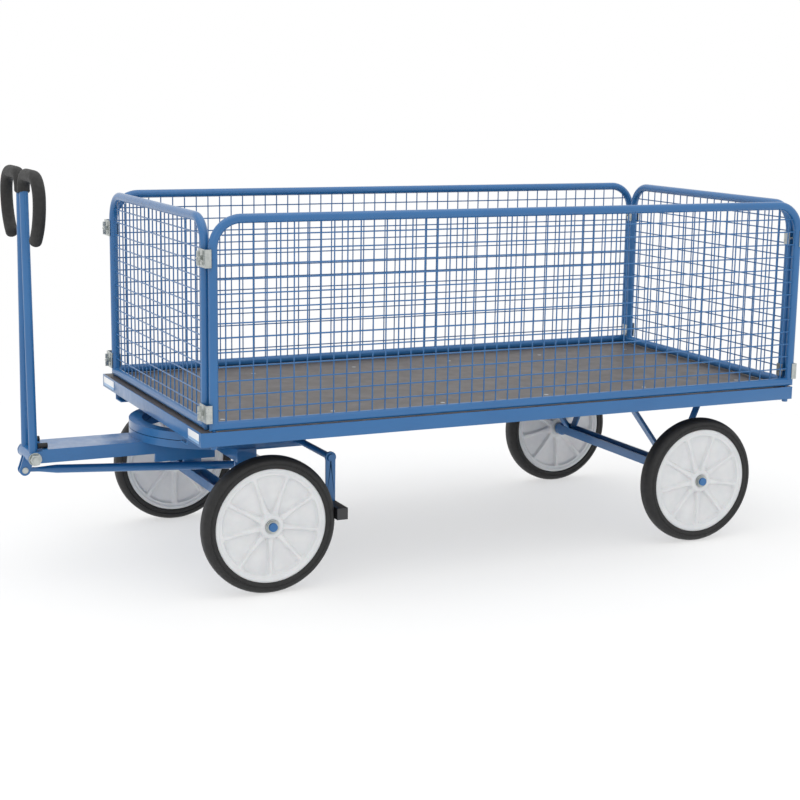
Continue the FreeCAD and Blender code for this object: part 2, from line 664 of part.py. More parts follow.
# ---------------------------------------------------------------- mesh walls
def tube_hoop(low_end, high_end):
    """A closed tube frame: rounded top corners and mitred bottom ones. The ends are the posts' axes."""
    rail, top, bend = size("wall_rail_z"), size("wall_top_z"), size("bend_radius")
    radius = size("tube_radius")
    up = Vector(0, 0, 1)
    span = (high_end - low_end).normalize()

    def at(place, height):
        return Vector(place.x, place.y, height)

    deep = radius * 2
    corners = [at(low_end, rail - deep), at(low_end, top), at(high_end, top), at(high_end, rail - deep)]
    hoop = swept(rounded_path(corners, [bend, bend]), radius)
    long = (high_end - low_end).Length + 2 * deep
    bottom = Part.makeCylinder(radius, long, at(low_end, rail) - span * deep, span)
    side_on = span.cross(up) * (radius * 4)
    reach = 8 * radius

    def wedge(corner, inward, towards_up):
        """The half space beyond a mitre at a bottom corner."""
        slope = inward + up
        first, second = corner - slope * reach, corner + slope * reach
        away = (up - inward if towards_up else inward - up) * reach
        face = Part.Face(Part.makePolygon([first, second, second + away, first + away, first]))
        solid = face.extrude(side_on * 2)
        solid.translate(side_on * -1)
        return solid

    for corner, inward in ((at(low_end, rail), span), (at(high_end, rail), span * -1)):
        hoop = hoop.cut(wedge(corner, inward, False))
        bottom = bottom.cut(wedge(corner, inward, True))
    return hoop.fuse(bottom).removeSplitter()


def mesh_panel(low_end, high_end):
    """Welded wires as one flat grid, ending where they meet the tube frame."""
    pitch, wire = size("mesh_pitch"), size("wire")
    rail, top = size("wall_rail_z"), size("wall_top_z")
    inset, bend = size("tube_radius") + 0.05, size("bend_radius")
    long = (high_end - low_end).Length
    left, right = inset, long - inset
    low, high = rail + inset, top - inset
    corner_radius = bend - inset
    corners = [Vector(left, 0, low), Vector(left, 0, high), Vector(right, 0, high), Vector(right, 0, low)]
    edge = rounded_path(corners, [corner_radius, corner_radius])
    closing = Part.LineSegment(corners[-1], corners[0]).toShape()
    panel = Part.Face(Part.Wire(edge.Edges + [closing]))
    across = int((right - left) // pitch)
    upward = int((high - low) // pitch)
    first_x = (left + right) / 2 - (across + 1) * pitch / 2
    first_z = (low + high) / 2 - (upward + 1) * pitch / 2
    opening = pitch - wire
    squares = []
    for column in range(across + 1):
        for line in range(upward + 1):
            x, z = first_x + column * pitch + wire / 2, first_z + line * pitch + wire / 2
            corners = [Vector(x, 0, z), Vector(x + opening, 0, z), Vector(x + opening, 0, z + opening),
                       Vector(x, 0, z + opening)]
            squares.append(Part.Face(Part.makePolygon(corners + corners[:1])))
    grid = panel.cut(Part.makeCompound(squares))
    solid = grid.Faces[0].extrude(Vector(0, wire, 0))
    solid.translate(Vector(0, -wire / 2, 0))
    return solid


def wall(name, low_end, high_end, pegs):
    frame = tube_hoop(low_end, high_end)
    rail = size("wall_rail_z")
    for x, y in pegs:
        peg = Part.makeCylinder(size("peg_radius"), rail - size("peg_low"), Vector(x, y, size("peg_low")))
        frame = frame.fuse(peg)
    node(shaped(frame.removeSplitter(), f"{name}_wall_frame"))
    mesh = shaped(mesh_panel(low_end, high_end), f"{name}_wall_mesh")
    span = high_end - low_end
    mesh.Placement.Rotation = Rotation(Vector(0, 0, 1), math.degrees(math.atan2(span.y, span.x)))
    mesh.Placement.Base = low_end
    node(mesh)


def walls():
    centre = size("centre_x")
    for name, side in SIDES.items():
        y = side * size("side_wall_y")
        low = Vector(centre + size("side_wall_rear"), y, 0)
        high = Vector(centre + size("side_wall_front"), y, 0)
        wall(name, low, high, [(high.x, y), (centre + size("rear_peg_x"), y)])
    for name, x, peg_x in (("front", "front_wall_x", "front_wall_x"), ("rear", "rear_wall_x", "rear_peg_x")):
        half = size("end_post_y")
        low, high = Vector(centre + size(x), -half, 0), Vector(centre + size(x), half, 0)
        wall(name, low, high, [(centre + size(peg_x), -half), (centre + size(peg_x), half)])


def corner_clips(name, direction, plate_x, post_x):
    """Angle plates that hook round the side walls' posts, each with a bolt and a wing nut."""
    side_wall_face = "side_wall_y + tube_radius + 0.3"
    brackets, bolts = [], []
    for side in (1, -1):
        for height in ("clip_low_z", "clip_top_z"):
            up = (f"{height} - clip_high / 2", f"{height} + clip_high / 2")
            wing_top, wing_low = f"{height} + wing_half", f"{height} - wing_half"

            def slab(along, across, tall):
                along = along if direction > 0 else along[::-1]
                across = across if side > 0 else across[::-1]
                return bar([f"{plate_x} + {direction} * ({value})" for value in along],
                           [f"{side} * ({value})" for value in across], tall)

            leaf = slab((0, "clip_thick"), ("end_post_y - 7", f"{side_wall_face} + clip_thick"), up)
            hook = slab(("-clip_reach", "clip_thick"), (side_wall_face, f"{side_wall_face} + clip_thick"), up)
            pad = slab((f"{direction} * ({post_x} - ({plate_x})) - tube_radius - 3",
                        f"{direction} * ({post_x} - ({plate_x})) - tube_radius"),
                       ("end_post_y - 7", "end_post_y + 19.5"), (wing_low, wing_top))
            start = f"{plate_x} + {direction} * 18" if direction < 0 else f"{post_x} - tube_radius - 8"
            shank_long = f"{direction} * ({plate_x} - ({post_x})) + tube_radius + 8 + 18"
            shank = round_bar("x", (start, f"{side} * clip_bolt_y", height), shank_long, "clip_bolt")
            bore = round_bar("x", (start, f"{side} * clip_bolt_y", height), shank_long, "clip_bore")
            hub = slab(("clip_thick", "clip_thick + 11"), ("clip_bolt_y - 6", "clip_bolt_y + 6"),
                       (f"{height} - 6", f"{height} + 6"))
            blade = ("clip_bolt_y - 1.5", "clip_bolt_y + 1.5")
            wings = [slab(("clip_thick + 3", "clip_thick + 14"), blade, tall)
                     for tall in ((f"{height} + 5", wing_top), (wing_low, f"{height} - 5"))]
            brackets += [cut(join(leaf, hook), bore), cut(pad, bore)]
            bolts.append(join(shank, hub, *wings))
    node(group(*brackets, label=f"{name}_clip_plates"))
    node(group(*bolts, label=f"{name}_wing_bolts"))


# ---------------------------------------------------------------- the whole truck
deck_board()
frame_rails()
sills()
cross_members()
king_cross_member()
wall_sockets()
blank_labels()
for end in AXLES:
    axle_beam(end)
    axle_spindles(end)
    axle_washers(end)
rear_struts()
wheels()
turntable_rings()
king_bolt()
lower_bolster()
drawbar_beam()
rear_spine()
pivot_bolt()
tiller_stop()
brake_return_spring()
tiller()
brake_lever()
brake_rod()
brake()
walls()
corner_clips("front", 1, "front_wall_x + tube_radius", "front_wall_x")
corner_clips("rear", -1, "side_wall_rear - tube_radius - 0.3", "rear_wall_x")
doc.recompute()

# ---------------------------------------------------------------- checks and export
for thing in doc.Objects:
    if "Invalid" in thing.State or "Error" in thing.State:
        raise RuntimeError(f"{thing.Label} failed to compute: {thing.State}")
for thing in NODES:
    shape = thing.Shape
    if shape.isNull() or not shape.isValid() or not shape.Solids:
        raise RuntimeError(f"{thing.Label} has no valid shape")

os.makedirs("parts", exist_ok=True)
for thing in NODES:
    thing.Shape.exportStep(f"parts/{thing.Label}.step")

whole = FreeCAD.BoundBox()
for thing in NODES:
    whole.add(thing.Shape.BoundBox)
print(len(NODES), "nodes, box", [round(edge, 2) for edge in (whole.XMin, whole.XMax, whole.YMin, whole.YMax,
                                                             whole.ZMin, whole.ZMax)])
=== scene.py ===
import math

import bmesh
import bpy
import numpy as np
from mathutils import Matrix, Vector


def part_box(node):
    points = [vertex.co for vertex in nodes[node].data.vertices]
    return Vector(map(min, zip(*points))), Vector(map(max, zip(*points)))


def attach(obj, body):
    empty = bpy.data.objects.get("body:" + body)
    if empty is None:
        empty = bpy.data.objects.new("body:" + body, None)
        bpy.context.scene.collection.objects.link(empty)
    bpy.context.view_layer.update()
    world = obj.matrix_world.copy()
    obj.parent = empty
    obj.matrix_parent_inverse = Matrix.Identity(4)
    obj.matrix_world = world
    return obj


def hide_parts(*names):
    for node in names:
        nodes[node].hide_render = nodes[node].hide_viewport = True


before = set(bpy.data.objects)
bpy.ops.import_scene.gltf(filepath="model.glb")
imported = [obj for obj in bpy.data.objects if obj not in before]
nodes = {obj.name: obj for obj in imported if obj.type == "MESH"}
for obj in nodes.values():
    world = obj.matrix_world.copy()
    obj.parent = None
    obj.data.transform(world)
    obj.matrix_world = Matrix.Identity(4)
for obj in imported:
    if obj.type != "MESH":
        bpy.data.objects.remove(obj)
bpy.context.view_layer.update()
MM = 0.001

# ------------------------------------------------------------------ powder-coated steel structure
# The frame, axles, turntable, drawbar and tubes are mild steel, cut, bent and welded, then powder-coated
# blue in one pass. The sheared edges are slightly broken, and the coating rounds them further.


def linear(code):
    """An sRGB hex colour as the linear RGBA that the shaders use."""
    parts = [int(code[place:place + 2], 16) / 255 for place in (1, 3, 5)]
    return [part / 12.92 if part <= 0.04045 else ((part + 0.055) / 1.055) ** 2.4 for part in parts] + [1.0]


def add(tree, kind, inputs=None, **settings):
    """A node with its settings, whose inputs are linked to sockets or set to plain values."""
    made = tree.nodes.new(kind)
    for name, value in settings.items():
        setattr(made, name, value)
    for name, value in (inputs or {}).items():
        socket = made.inputs[name]
        if isinstance(value, bpy.types.NodeSocket):
            tree.links.new(value, socket)
        else:
            socket.default_value = value
    return made


def new_material(name, **shader_values):
    """A material with one Principled shader, and its Object coordinates in metres."""
    material = bpy.data.materials.new(name)
    material.use_nodes = True
    tree = material.node_tree
    shader = tree.nodes["Principled BSDF"]
    for socket, value in shader_values.items():
        shader.inputs[socket.replace("_", " ")].default_value = value
    place = add(tree, "ShaderNodeTexCoord").outputs["Object"]
    return material, tree, shader, place


def noise(tree, place, size_mm, detail=3.0, roughness=0.55):
    """A noise pattern whose blotches are about size_mm across."""
    return add(tree, "ShaderNodeTexNoise", {"Vector": place, "Scale": 1 / (size_mm * MM), "Detail": detail,
                                            "Roughness": roughness}).outputs["Fac"]


def spread(tree, value, low, high):
    """The middle of a 0 to 1 pattern stretched to a range."""
    return add(tree, "ShaderNodeMapRange", {"Value": value, "From Min": 0.3, "From Max": 0.7, "To Min": low,
                                            "To Max": high}).outputs["Result"]


def blended(tree, amount, first, second):
    mix = add(tree, "ShaderNodeMix", {"Factor": amount}, data_type="RGBA")
    mix.inputs["A"].default_value = first
    mix.inputs["B"].default_value = second
    return mix.outputs["Result"]


def bumped(tree, shader, height, strength, depth_mm):
    bump = add(tree, "ShaderNodeBump", {"Height": height, "Strength": strength, "Distance": depth_mm * MM})
    tree.links.new(bump.outputs["Normal"], shader.inputs["Normal"])


def coated_steel(name, colour, shade):
    """Powder coat: satin, with the faint orange peel of a baked film, drawn at 4 mm so that it shows."""
    material, tree, shader, place = new_material(name, Coat_Weight=0.35, Coat_Roughness=0.12, IOR=1.5)
    tone = spread(tree, noise(tree, place, 180), 0.0, 1.0)
    tree.links.new(blended(tree, tone, linear(colour), linear(shade)), shader.inputs["Base Color"])
    tree.links.new(spread(tree, noise(tree, place, 25), 0.28, 0.38), shader.inputs["Roughness"])
    bumped(tree, shader, noise(tree, place, 4, detail=1.0), 0.12, 0.15)
    return material


blue_coat = coated_steel("blue_powder_coat", "#22669f", "#1e6098")


def edge_finish_tree():
    """Shades a CAD mesh smooth except at real edges."""
    tree = bpy.data.node_groups.new("edge_finish", "GeometryNodeTree")
    tree.interface.new_socket("Mesh", in_out="INPUT", socket_type="NodeSocketGeometry")
    tree.interface.new_socket("Mesh", in_out="OUTPUT", socket_type="NodeSocketGeometry")
    start, end = add(tree, "NodeGroupInput"), add(tree, "NodeGroupOutput")
    angle = add(tree, "GeometryNodeInputMeshEdgeAngle").outputs["Unsigned Angle"]
    sharp = add(tree, "FunctionNodeCompare", {0: angle, 1: math.radians(28)}, operation="GREATER_THAN")
    creased = add(tree, "GeometryNodeSetShadeSmooth", {"Geometry": start.outputs["Mesh"],
                                                       "Selection": sharp.outputs["Result"],
                                                       "Shade Smooth": False}, domain="EDGE")
    smooth = add(tree, "GeometryNodeSetShadeSmooth", {"Geometry": creased.outputs["Geometry"],
                                                      "Shade Smooth": True}, domain="FACE")
    tree.links.new(smooth.outputs["Geometry"], end.inputs["Mesh"])
    return tree


edge_finish = edge_finish_tree()


def dress(names, material, edge_mm=1.0):
    """Gives CAD nodes their finish and breaks their sharp edges."""
    for name in names:
        piece = nodes[name]
        piece.data.materials.clear()
        piece.data.materials.append(material)
        weld = piece.modifiers.new("merge", "WELD")
        weld.merge_threshold = 0.005 * MM
        if edge_mm:
            bevel = piece.modifiers.new("broken_edges", "BEVEL")
            bevel.width = edge_mm * MM
            bevel.segments = 2
            bevel.limit_method = "ANGLE"
            bevel.angle_limit = math.radians(35)
        piece.modifiers.new("shading", "NODES").node_group = edge_finish


dress(["end_rails", "side_rails", "sills", "cross_members", "king_cross_member", "rear_struts",
       "lower_bolster", "drawbar_beam", "rear_spine", "front_axle_beam", "rear_axle_beam", "brake_arms"],
      blue_coat, 1.2)
dress(["wall_sockets", "upper_ring", "lower_ring", "front_axle_spindles", "rear_axle_spindles", "brake_shaft",
       "brake_lever", "brake_rod", "tiller_sleeve", "tiller_tubes"], blue_coat, 0.0)

# ------------------------------------------------------------------ deck board and its screws
# Film-faced birch plywood, 15 mm thick, laid in the frame and flush with its edge. The brown phenolic film
# has a fine pressed grid so that cargo doesn't slide, and it is held by countersunk screws into the sills.


def film_faced_board():
    """Phenolic film: satin brown, with the pressed anti-slip grid drawn at 6 mm so that it shows."""
    material, tree, shader, place = new_material("film_faced_plywood", IOR=1.5)
    tone = spread(tree, noise(tree, place, 120, detail=6.0), 0.0, 1.0)
    film = blended(tree, tone, linear("#4f4a48"), linear("#5b5552"))
    two_plies = 3 * MM
    height = add(tree, "ShaderNodeSeparateXYZ", {"Vector": place}).outputs["Z"]
    phase = add(tree, "ShaderNodeMath", {0: height, 1: 2 * math.pi / two_plies}, operation="MULTIPLY")
    plies = add(tree, "ShaderNodeMath", {0: phase.outputs[0]}, operation="SINE").outputs[0]
    lightness = add(tree, "ShaderNodeMapRange", {"Value": plies, "From Min": -1.0}).outputs["Result"]
    edge = blended(tree, lightness, linear("#5d4436"), linear("#8a6c4f"))
    facing = add(tree, "ShaderNodeNewGeometry").outputs["Normal"]
    rise = add(tree, "ShaderNodeSeparateXYZ", {"Vector": facing}).outputs["Z"]
    upright = add(tree, "ShaderNodeMath", {0: rise}, operation="ABSOLUTE").outputs[0]
    flat = add(tree, "ShaderNodeMath", {0: upright, 1: 0.5}, operation="GREATER_THAN").outputs[0]
    surface = add(tree, "ShaderNodeMix", {"Factor": flat}, data_type="RGBA")
    tree.links.new(edge, surface.inputs["A"])
    tree.links.new(film, surface.inputs["B"])
    tree.links.new(surface.outputs["Result"], shader.inputs["Base Color"])
    tree.links.new(spread(tree, noise(tree, place, 60), 0.42, 0.56), shader.inputs["Roughness"])
    grid = add(tree, "ShaderNodeTexVoronoi", {"Vector": place, "Scale": 1 / (6 * MM), "Randomness": 0.15},
               feature="DISTANCE_TO_EDGE").outputs["Distance"]
    bumped(tree, shader, grid, 0.3, 0.4)
    return material


def plated_zinc():
    """Bright zinc plate: metal with a soft blotchy passivation, which shows as uneven gloss."""
    material, tree, shader, place = new_material("zinc_plate", Metallic=1.0)
    tone = spread(tree, noise(tree, place, 14), 0.0, 1.0)
    tree.links.new(blended(tree, tone, linear("#c3c7c4"), linear("#a9aeac")), shader.inputs["Base Color"])
    tree.links.new(spread(tree, noise(tree, place, 5), 0.26, 0.42), shader.inputs["Roughness"])
    bumped(tree, shader, noise(tree, place, 2), 0.1, 0.1)
    return material


zinc = plated_zinc()
dress(["deck_board"], film_faced_board(), 0.0)
dress(["deck_screws"], zinc, 0.0)

# ------------------------------------------------------------------ blank label plates
# Self-adhesive foil labels stuck on the frame's rails. They carry no text here: a white face with a plain
# blue band along its lower part.


def label_foil():
    """Glossy printed foil: white, with a flat blue band along its lower part."""
    material, tree, shader, place = new_material("label_foil", Roughness=0.3, IOR=1.46)
    height = add(tree, "ShaderNodeSeparateXYZ", {"Vector": place}).outputs["Z"]
    band_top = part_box("blank_labels")[0].z + 8 * MM
    band = add(tree, "ShaderNodeMapRange", {"Value": height, "From Min": band_top,
                                            "From Max": band_top + 0.5 * MM})
    speckle = spread(tree, noise(tree, place, 30), 0.0, 0.15)
    white = blended(tree, speckle, linear("#eef0f2"), linear("#d9dee4"))
    surface = add(tree, "ShaderNodeMix", {"Factor": band.outputs["Result"]}, data_type="RGBA")
    surface.inputs["A"].default_value = linear("#8fb4d8")
    tree.links.new(white, surface.inputs["B"])
    tree.links.new(surface.outputs["Result"], shader.inputs["Base Color"])
    return material


dress(["blank_labels"], label_foil(), 0.2)

# ------------------------------------------------------------------ wheels
# Each wheel is a solid rubber tyre pressed on an injection-moulded white nylon rim, whose nine ribs are left
# standing between shallow pockets. A steel bush in the hub runs on the greased spindle.
TURN_STEPS = 216
RIB_COUNT = 9
rim_low, rim_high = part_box("front_left_rim")
tyre_low, tyre_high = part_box("front_left_tyre")
RIM_RADIUS = (rim_high.z - rim_low.z) / 2
TYRE_RADIUS = tyre_high.z / 2
TYRE_HALF = (tyre_high.y - tyre_low.y) / 2
HUB_HALF = (rim_high.y - rim_low.y) / 2
bush_low, bush_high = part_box("front_left_hub_bush")
BUSH_RADIUS = (bush_high.z - bush_low.z) / 2


def moulded_nylon():
    """Natural white nylon: matt and slightly translucent, with faint flow marks from the mould."""
    material, tree, shader, place = new_material("white_nylon", IOR=1.53, Subsurface_Weight=0.05)
    tone = spread(tree, noise(tree, place, 45), 0.0, 1.0)
    tree.links.new(blended(tree, tone, linear("#dcddde"), linear("#d2d4d6")), shader.inputs["Base Color"])
    tree.links.new(spread(tree, noise(tree, place, 9), 0.4, 0.52), shader.inputs["Roughness"])
    bumped(tree, shader, noise(tree, place, 3), 0.1, 0.12)
    return material


def solid_rubber():
    """Carbon-black rubber: dark, with a dusty low sheen and the faint grain of the mould."""
    material, tree, shader, place = new_material("solid_rubber", IOR=1.52)
    tone = spread(tree, noise(tree, place, 35), 0.0, 1.0)
    tree.links.new(blended(tree, tone, linear("#0d0d0e"), linear("#131314")), shader.inputs["Base Color"])
    tree.links.new(spread(tree, noise(tree, place, 12), 0.5, 0.66), shader.inputs["Roughness"])
    bumped(tree, shader, noise(tree, place, 2.5), 0.25, 0.2)
    return material


def bright_steel():
    """Turned and ground steel: clean metal with fine tool marks."""
    material, tree, shader, place = new_material("turned_steel", Metallic=1.0)
    tone = spread(tree, noise(tree, place, 8), 0.0, 1.0)
    tree.links.new(blended(tree, tone, linear("#c9cbcc"), linear("#b4b7b9")), shader.inputs["Base Color"])
    tree.links.new(spread(tree, noise(tree, place, 2), 0.22, 0.36), shader.inputs["Roughness"])
    return material


nylon, rubber, steel = moulded_nylon(), solid_rubber(), bright_steel()


def finish_mesh(name, mesh, material, body, replaced=(), sharp_degrees=35):
    """Makes a finished piece of a mesh: outward faces, smooth shading, a material and a body to ride on."""
    work = bmesh.new()
    work.from_mesh(mesh)
    bmesh.ops.remove_doubles(work, verts=work.verts, dist=0.002 * MM)
    bmesh.ops.recalc_face_normals(work, faces=work.faces)
    work.to_mesh(mesh)
    work.free()
    mesh.shade_smooth()
    mesh.set_sharp_from_angle(angle=math.radians(sharp_degrees))
    mesh.materials.clear()
    mesh.materials.append(material)
    piece = bpy.data.objects.new(name, mesh)
    bpy.context.scene.collection.objects.link(piece)
    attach(piece, body)
    if replaced:
        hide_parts(*replaced)


def turned_grid(name, radii, offsets, centre):
    """A ring whose section is a closed loop of radius and offset along Y. Both may vary with the angle."""
    steps = radii.shape[1]
    angles = np.arange(steps) * 2 * math.pi / steps
    along = centre.x + radii * np.cos(angles)
    up = centre.z + radii * np.sin(angles)
    across = centre.y + offsets
    points = np.stack([along, across, up], axis=-1).reshape(-1, 3)
    rings = radii.shape[0]
    faces = []
    for ring in range(rings):
        following = (ring + 1) % rings
        for step in range(steps):
            right = (step + 1) % steps
            faces.append((ring * steps + step, ring * steps + right, following * steps + right,
                          following * steps + step))
    mesh = bpy.data.meshes.new(name)
    mesh.from_pydata(points.tolist(), [], faces)
    return mesh


def plain_section(section):
    """A section of (radius, offset) pairs in millimetres, the same at every angle."""
    section = np.array(section, float) * MM
    ones = np.ones(TURN_STEPS)
    return section[:, :1] * ones, section[:, 1:] * ones


def rounded_section(corners, rounding, steps=4):
    """A closed section with its corners rounded by the radius given for each, in millimetres."""
    result = []
    count = len(corners)
    for index, corner in enumerate(corners):
        here = np.array(corner, float)
        before = np.array(corners[index - 1], float) - here
        after = np.array(corners[(index + 1) % count], float) - here
        reach = min(rounding[index], np.linalg.norm(before) * 0.49, np.linalg.norm(after) * 0.49)
        if reach < 0.05:
            result.append(tuple(here))
            continue
        start = here + before / np.linalg.norm(before) * reach
        end = here + after / np.linalg.norm(after) * reach
        for step in range(steps + 1):
            share = step / steps
            result.append(tuple((1 - share) ** 2 * start + 2 * share * (1 - share) * here + share ** 2 * end))
    return result


def tyre_section():
    """Crowned tread, a moulded step round each sidewall and a bead that sits on the rim."""
    radius, half, seat = TYRE_RADIUS / MM, TYRE_HALF / MM, RIM_RADIUS / MM
    side = [((seat, half - 4), 1), ((seat + 2.5, half - 1), 1.5), ((seat + 11, half - 0.4), 1),
            ((seat + 12.5, half - 2.2), 1), ((seat + 14.5, half - 2.2), 1), ((seat + 16, half - 0.2), 2),
            ((seat + 24, half - 2.5), 6), ((radius - 2.2, half - 13), 7), ((radius, half - 22), 6)]
    other = [((r, -w), soft) for (r, w), soft in reversed(side)]
    loop = side + other
    return rounded_section([corner for corner, soft in loop], [soft for corner, soft in loop])


def smoothest(first, second, soften):
    """The smaller of two distances, with a rounded change-over."""
    share = np.clip(0.5 + 0.5 * (second - first) / soften, 0, 1)
    return second * (1 - share) + first * share - soften * share * (1 - share)


def rim_surface():
    """Radii and offsets of the rim: a moulded face with nine pockets a side, closed at bore and seat."""
    seat, bore, hub = RIM_RADIUS / MM, BUSH_RADIUS / MM, HUB_HALF / MM
    face, lip, depth = 22.0, 25.5, 9.5
    boss_edge, pocket_end = 33, 147
    stations = np.concatenate([[bore, bore + 1.2, 26, 30, boss_edge], np.arange(36, 154, 3.0),
                               [155, 157, 160, seat - 1, seat]])
    angles = np.arange(TURN_STEPS) * 2 * math.pi / TURN_STEPS
    pitch = 2 * math.pi / RIB_COUNT
    radius = stations[:, None] * np.ones(TURN_STEPS)
    # the ribs stand at multiples of the pitch from straight down
    offset = (angles + math.pi / 2 + pitch / 2) % pitch - pitch / 2
    rib_half = 3.2 + 6.5 * np.exp(-(radius - 30) / 22) + 3.0 * np.exp(-(150 - radius) / 12)
    past_rib = radius * np.sin(np.abs(offset)) - rib_half
    pocket = smoothest(smoothest(past_rib, pocket_end - radius, 8.0), radius - boss_edge, 5.0)
    share = np.clip(pocket / 5.0, 0, 1)
    sunk = depth * share * share * (3 - 2 * share)
    plane = np.interp(stations, [bore, bore + 1.2, boss_edge, 40, 150, 154, 157, 160, seat - 1, seat],
                      [hub - 1.2, hub, hub - 1, face, face, face + 0.6, lip, lip, lip, lip - 1.2])
    outer = plane[:, None] - sunk
    return np.concatenate([radius, radius[::-1]]) * MM, np.concatenate([outer, -outer[::-1]]) * MM


for end in ("front", "rear"):
    for side in ("left", "right"):
        body = f"wheel_{end}_{side}"
        low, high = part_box(f"{end}_{side}_tyre")
        hub = (low + high) / 2
        tyre_mesh = turned_grid(f"{body}_tyre", *plain_section(tyre_section()), hub)
        finish_mesh(f"tyre_{end}_{side}", tyre_mesh, rubber, body, [f"{end}_{side}_tyre"])
        rim_mesh = turned_grid(f"{body}_rim", *rim_surface(), hub)
        finish_mesh(f"rim_{end}_{side}", rim_mesh, nylon, body, [f"{end}_{side}_rim"], 60)
        dress([f"{end}_{side}_hub_bush"], steel, 0.5)
    dress([f"{end}_axle_washers"], zinc, 0.6)

# ------------------------------------------------------------------ turntable inner pieces
# Hardened steel balls run between the two pressed rings, and the king bolt holds them together.
# The torsion spring is cold-wound, oil-tempered wire.
dress(["bearing_balls"], steel, 0.0)
dress(["brake_return_spring"], steel, 0.0)
dress(["king_bolt", "pivot_bolt", "lever_pin"], zinc, 0.8)

# ------------------------------------------------------------------ brake bar
# A steel bar across the truck behind the front tyres, enamelled black, which the rod pulls against the
# treads. The tiller's stop is a moulded rubber block.
dress(["brake_bar"], coated_steel("black_enamel", "#1b1c1f", "#222327"), 1.5)
dress(["tiller_stop"], rubber, 1.5)

# ------------------------------------------------------------------ tiller grips
# Soft black PVC sleeves pushed over the bent ends of the two tiller tubes, with a rounded closed end.
GRIP_RADIUS = 18 * MM
GRIP_START = 1118 * MM
CURL_TURN = math.radians(54.3)


def horn_route(side):
    """The bend's centre line in metres: up, outwards over the hand and back in."""
    low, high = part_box(f"grip_{side}")
    sign = 1 if side == "left" else -1
    outermost = max(abs(low.y), abs(high.y)) - GRIP_RADIUS
    top = high.z - GRIP_RADIUS
    middle_x = (low.x + high.x) / 2
    foot_y, corner_y = 20.2 * MM, 18 * MM
    horn_in, horn_out, curl = 44 * MM, 62 * MM, 143 * MM
    tail = 8 * MM
    route = [(foot_y, GRIP_START)]
    for step in range(13):
        angle = math.pi * 0.5 * step / 12
        route.append((corner_y + horn_in * (1 - math.cos(angle)), top - horn_in + horn_in * math.sin(angle)))
    for step in range(15):
        angle = math.pi * 0.5 * step / 14
        route.append((outermost - horn_out + horn_out * math.sin(angle),
                      top - horn_out + horn_out * math.cos(angle)))
    for step in range(1, 16):
        angle = CURL_TURN * step / 15
        route.append((outermost - curl * (1 - math.cos(angle)), top - horn_out - curl * math.sin(angle)))
    last, before = route[-1], route[-2]
    run = Vector((last[0] - before[0], last[1] - before[1])).normalized() * tail
    route.append((last[0] + run.x, last[1] + run.y))
    return [Vector((middle_x, sign * across, up)) for across, up in route]


def run_lengths(route):
    """How far along the route each of its points lies."""
    lengths = [0.0]
    for start, end in zip(route, route[1:]):
        lengths.append(lengths[-1] + (end - start).length)
    return lengths


def sleeve_mesh(name, route, radius, sides=28):
    """A round sleeve along a route, eased at its mouth, with a domed far end."""
    lengths = run_lengths(route)
    dome, mouth, easing = 10 * MM, 3 * MM, 1.5 * MM
    aside = Vector((1, 0, 0))
    turns = [2 * math.pi * side / sides for side in range(sides)]
    verts, faces = [], []
    for index, (point, run) in enumerate(zip(route, lengths)):
        ahead = (route[min(index + 1, len(route) - 1)] - route[max(index - 1, 0)]).normalized()
        across = ahead.cross(aside).normalized()
        left = lengths[-1] - run
        scale = radius
        if left < dome:
            scale = radius * math.sqrt(max(0.0, 1 - ((dome - left) / dome) ** 2) * 0.85 + 0.15)
        if run < mouth:
            scale = radius - easing * (1 - run / mouth)
        verts.extend(point + (aside * math.cos(turn) + across * math.sin(turn)) * scale for turn in turns)
    for index in range(len(route) - 1):
        for side in range(sides):
            right = (side + 1) % sides
            faces.append((index * sides + side, index * sides + right, (index + 1) * sides + right,
                          (index + 1) * sides + side))
    faces.append(tuple(range(sides)))
    faces.append(tuple(range((len(route) - 1) * sides, len(route) * sides)))
    mesh = bpy.data.meshes.new(name)
    mesh.from_pydata([tuple(vert) for vert in verts], [], faces)
    return mesh


def resampled(route, spacing):
    """The route with points at even spacing, and closer ones near both ends."""
    lengths = run_lengths(route)
    total = lengths[-1]
    count = int(total / spacing)
    wanted = sorted(set([0, 1 * MM, 3 * MM] + [total * step / count for step in range(1, count)]
                        + [total - gap * MM for gap in (10, 8, 6, 4, 2.5, 1.2, 0.4, 0)]))
    result = []
    for want in wanted:
        for index in range(len(lengths) - 1):
            if lengths[index + 1] >= want - 1e-9:
                share = (want - lengths[index]) / max(lengths[index + 1] - lengths[index], 1e-9)
                result.append(route[index].lerp(route[index + 1], share))
                break
    return result


def soft_vinyl():
    """Dipped soft vinyl: near black, dull, with a fine leathery grain drawn at 3 mm."""
    material, tree, shader, place = new_material("soft_black_vinyl", IOR=1.5)
    tone = spread(tree, noise(tree, place, 30), 0.0, 1.0)
    tree.links.new(blended(tree, tone, linear("#161615"), linear("#1e1e1d")), shader.inputs["Base Color"])
    tree.links.new(spread(tree, noise(tree, place, 10), 0.55, 0.72), shader.inputs["Roughness"])
    bumped(tree, shader, noise(tree, place, 3), 0.35, 0.25)
    return material


vinyl = soft_vinyl()
for side in ("left", "right"):
    route = resampled(horn_route(side), 9 * MM)
    finish_mesh(f"horn_grip_{side}", sleeve_mesh(f"horn_grip_{side}", route, GRIP_RADIUS), vinyl, "tiller",
                [f"grip_{side}"], 50)

# ------------------------------------------------------------------ mesh walls
# Each wall is a bent round-tube frame, mitred and welded at the bottom corners, with 4 mm wires at 40 mm
# centres welded where they cross: upright wires inside, level wires outside.
for side in ("left", "right", "front", "rear"):
    dress([f"{side}_wall_frame"], blue_coat, 0.0)

WIRE_RADIUS = 2 * MM
MESH_PITCH = 40 * MM
CORNER_RADIUS = 67.5 * MM


